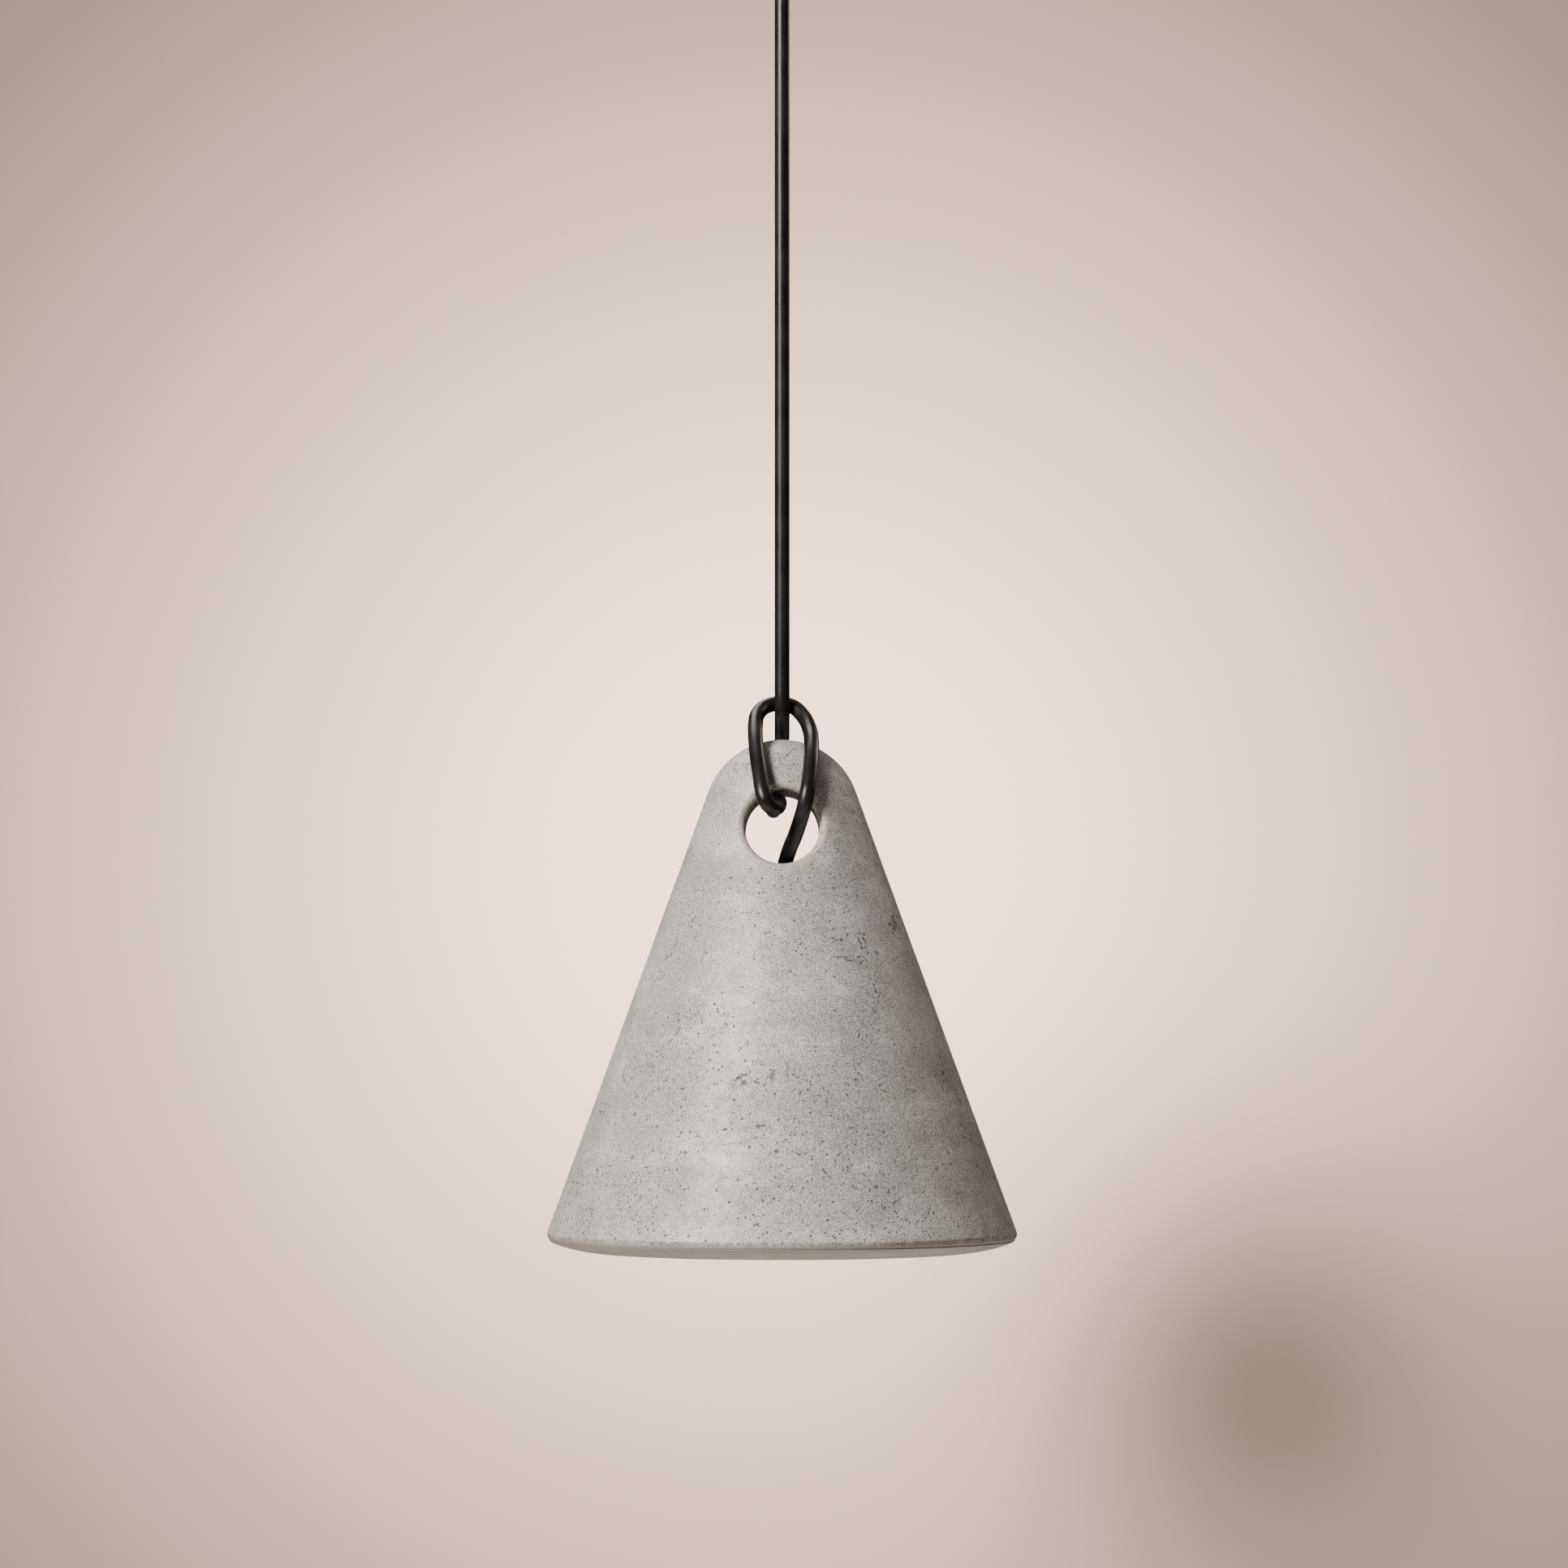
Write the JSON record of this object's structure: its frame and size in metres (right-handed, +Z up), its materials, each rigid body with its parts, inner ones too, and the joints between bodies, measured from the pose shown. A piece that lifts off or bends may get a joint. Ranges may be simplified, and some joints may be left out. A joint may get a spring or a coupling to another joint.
{
  "type": "pendant ceiling light",
  "caption": "Cast concrete cone pendant light with a round eye through its neck, hung by a black round cord hitched over the neck, with a ceiling cup and a lampholder inside.",
  "frame": {"origin": "middle of the bracket's top face, in the plane of the ceiling", "axes": "+Z up, out of the ceiling side; the eye's axis runs along Y and its front faces -Y"},
  "size_m": [0.1998, 0.1998, 0.6333],
  "materials": {
    "concrete": "fine sandy cast surface, matte, with small pits",
    "black_cord": "satin round sheath",
    "black_paint": "fine matte powder coat",
    "black_nylon": "moulded, lightly textured",
    "zinc_steel": "bright zinc plate",
    "brass": "plain machined",
    "white_plastic": "moulded",
    "ceramic": "glazed",
    "opal": "opal diffusing plastic",
    "brown_core": "smooth insulation",
    "blue_core": "smooth insulation",
    "earth_core": "smooth green insulation with a yellow stripe",
    "aluminium": "plain sheet"
  },
  "bodies": {
    "ceiling": {"ceiling_bracket": "zinc_steel", "terminal_block": "white_plastic", "terminal_sleeve_live": "brass", "terminal_sleeve_earth": "brass", "terminal_sleeve_neutral": "brass", "terminal_screw_live_lamp": "brass", "terminal_screw_live_mains": "brass", "terminal_screw_earth_lamp": "brass", "terminal_screw_earth_mains": "brass", "terminal_screw_neutral_lamp": "brass", "terminal_screw_neutral_mains": "brass", "earth_screw": "brass", "cup_screw_left": "black_paint", "cup_screw_right": "black_paint", "lead_live": "brown_core", "lead_neutral": "blue_core", "lead_earth": "earth_core"},
    "cup": {"ceiling_cup": "black_paint", "cord_grip": "black_nylon", "grip_washer": "zinc_steel", "grip_nut": "zinc_steel", "grip_screw": "zinc_steel", "cord_in_grip": "black_cord"},
    "cord_upper": {"cord_bend": "black_cord"},
    "cord_lower": {"cord_link": "black_cord"},
    "shade": {"cord_drop": "black_cord", "cord_hitch": "black_cord", "concrete_shade": "concrete", "eye_bush": "black_nylon", "threaded_tube": "zinc_steel", "tube_washer": "zinc_steel", "tube_nut": "zinc_steel", "holder_cap": "black_nylon", "holder_skirt": "black_nylon", "holder_insert": "ceramic", "holder_screw_live": "brass", "holder_screw_neutral": "brass", "core_live": "brown_core", "core_neutral": "blue_core", "screw_shell": "brass", "centre_contact": "brass"},
    "bulb": {"bulb_cap": "zinc_steel", "bulb_insulator": "black_nylon", "bulb_contact": "zinc_steel", "bulb_body": "white_plastic", "bulb_board": "aluminium", "bulb_globe": "opal"}
  },
  "joints": [
    {"name": "cup_lower", "type": "slide", "parent": "ceiling", "child": "cup", "axis": [0, 0, -1], "range_m": [0, 0.04], "deforming": ["lead_live", "lead_neutral"]},
    {"name": "swing_sideways", "type": "hinge", "parent": "cup", "child": "cord_upper", "pos_m": [0, 0, -0.0751], "axis": [0, 1, 0], "range_deg": [-25, 25]},
    {"name": "swing_forwards", "type": "hinge", "parent": "cord_upper", "child": "cord_lower", "pos_m": [0, 0, -0.0951], "axis": [1, 0, 0], "range_deg": [-25, 25]},
    {"name": "cord_twist", "type": "hinge", "parent": "cord_lower", "child": "shade", "pos_m": [0, 0, -0.1251], "axis": [0, 0, 1], "range_deg": [-90, 90]},
    {"name": "bulb_out", "type": "slide", "parent": "shade", "child": "bulb", "axis": [0, 0, -1], "range_m": [0, 0.028]}
  ]
}
